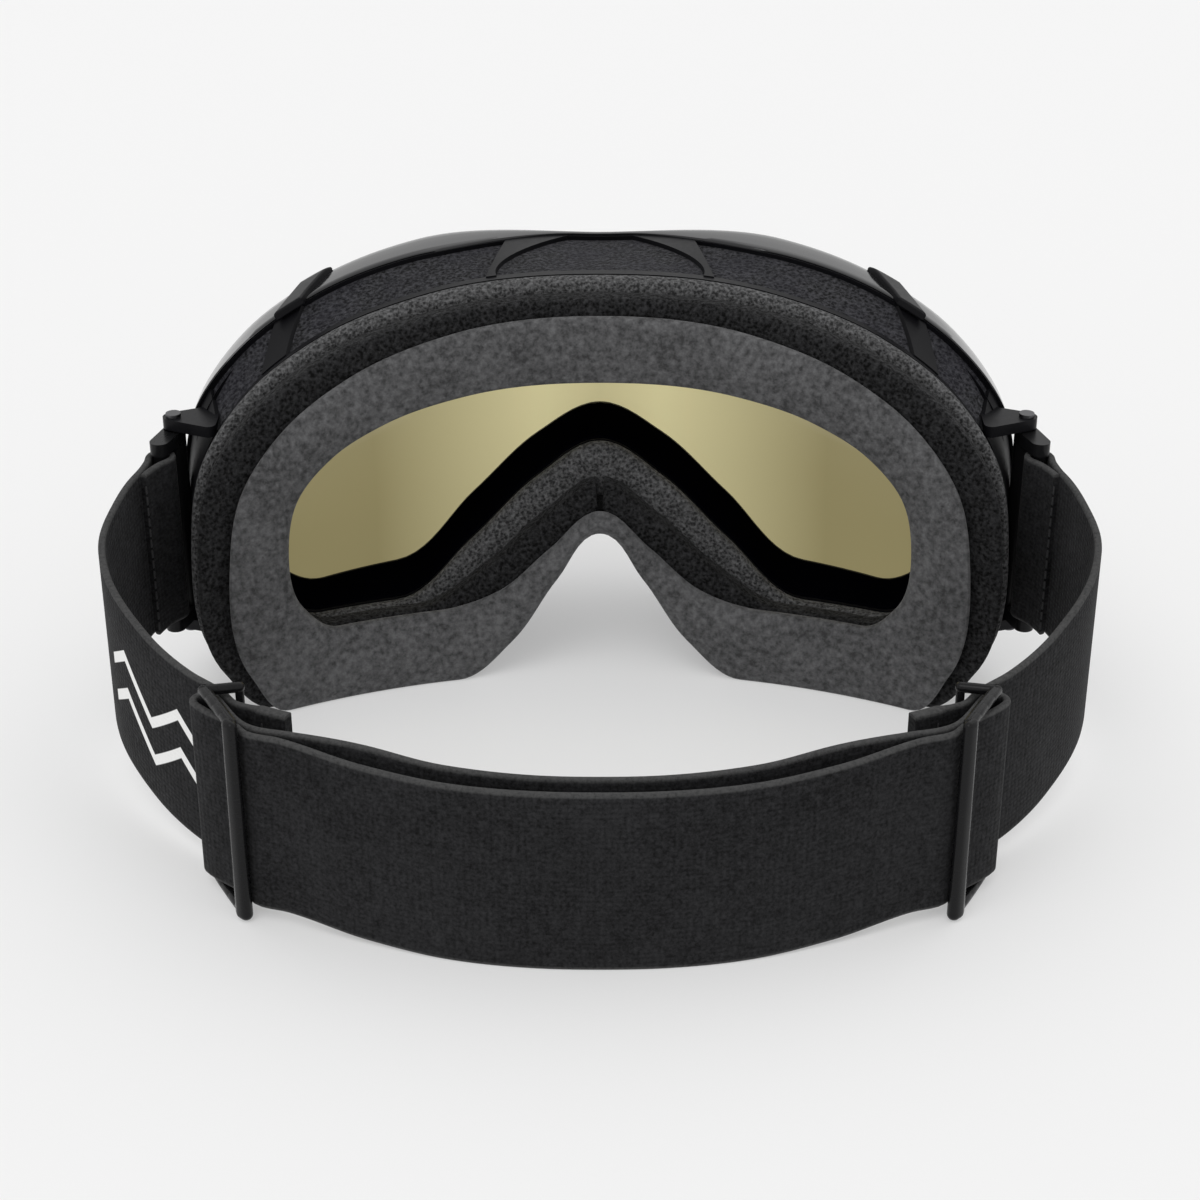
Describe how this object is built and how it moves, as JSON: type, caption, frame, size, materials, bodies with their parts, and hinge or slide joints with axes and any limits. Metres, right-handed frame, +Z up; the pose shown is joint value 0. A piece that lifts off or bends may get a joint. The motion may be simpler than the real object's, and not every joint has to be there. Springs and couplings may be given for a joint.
{
  "type": "ski goggles",
  "caption": "Snow goggles with a curved double lens in a glossy rim, vented frame, layered face foam and a wide elastic strap with buckle sliders.",
  "frame": {"origin": "on the floor, in the middle of the overall width and depth", "axes": "+Z up, +Y from the lens towards the wearer's head, +X towards the wearer's left"},
  "size_m": [0.2128, 0.1706, 0.0932],
  "materials": {
    "outer_lens": "smoke tint, glossy",
    "inner_lens": "clear with a gold tint",
    "gasket_foam": "matte closed-cell foam",
    "rim_gloss": "high gloss",
    "frame_black": "satin",
    "vent_foam": "open-cell foam",
    "base_foam": "fine open-cell foam",
    "mid_foam": "coarse open-cell foam",
    "fleece": "brushed fleece",
    "pin_steel": "blackened",
    "slider_black": "satin",
    "strap_web": "woven elastic webbing"
  },
  "bodies": {
    "frame": {"chassis": "frame_black", "front_rim": "rim_gloss", "top_vent_foam": "vent_foam", "side_vent_foam_left": "vent_foam", "side_vent_foam_right": "vent_foam", "bottom_vent_foam_left": "vent_foam", "bottom_vent_foam_right": "vent_foam", "face_foam_base": "base_foam", "face_foam_mid": "mid_foam", "face_fleece": "fleece", "hinge_pin_left": "pin_steel", "hinge_pin_right": "pin_steel", "strap_rear": "strap_web", "strap_side_left": "strap_web", "strap_side_right": "strap_web"},
    "lens_set": {"outer_lens": "outer_lens", "lens_gasket": "gasket_foam", "inner_lens": "inner_lens"},
    "outrigger_left": {"outrigger_left": "frame_black"},
    "outrigger_right": {"outrigger_right": "frame_black"},
    "slider_left": {"slider_left": "slider_black"},
    "slider_right": {"slider_right": "slider_black"}
  },
  "joints": [
    {"name": "outrigger_left_hinge", "type": "hinge", "parent": "frame", "child": "outrigger_left", "pos_m": [0.0954, -0.0325, 0.0393], "axis": [0, 0, -1], "range_deg": [-5, 40], "deforming": ["strap_side_left"]},
    {"name": "outrigger_right_hinge", "type": "hinge", "parent": "frame", "child": "outrigger_right", "pos_m": [-0.0954, -0.0325, 0.0393], "axis": [0, 0, 1], "range_deg": [-5, 40], "deforming": ["strap_side_right"]},
    {"name": "slider_left_slide", "type": "slide", "parent": "frame", "child": "slider_left", "axis": [0.5878, -0.809, 0], "range_m": [0, 0.02], "deforming": ["strap_rear", "strap_side_left"]},
    {"name": "slider_right_slide", "type": "slide", "parent": "frame", "child": "slider_right", "axis": [-0.5878, -0.809, 0], "range_m": [0, 0.02], "deforming": ["strap_rear", "strap_side_right"]},
    {"name": "lens_pull", "type": "slide", "parent": "frame", "child": "lens_set", "axis": [0, -1, 0], "range_m": [0, 0.03]}
  ]
}
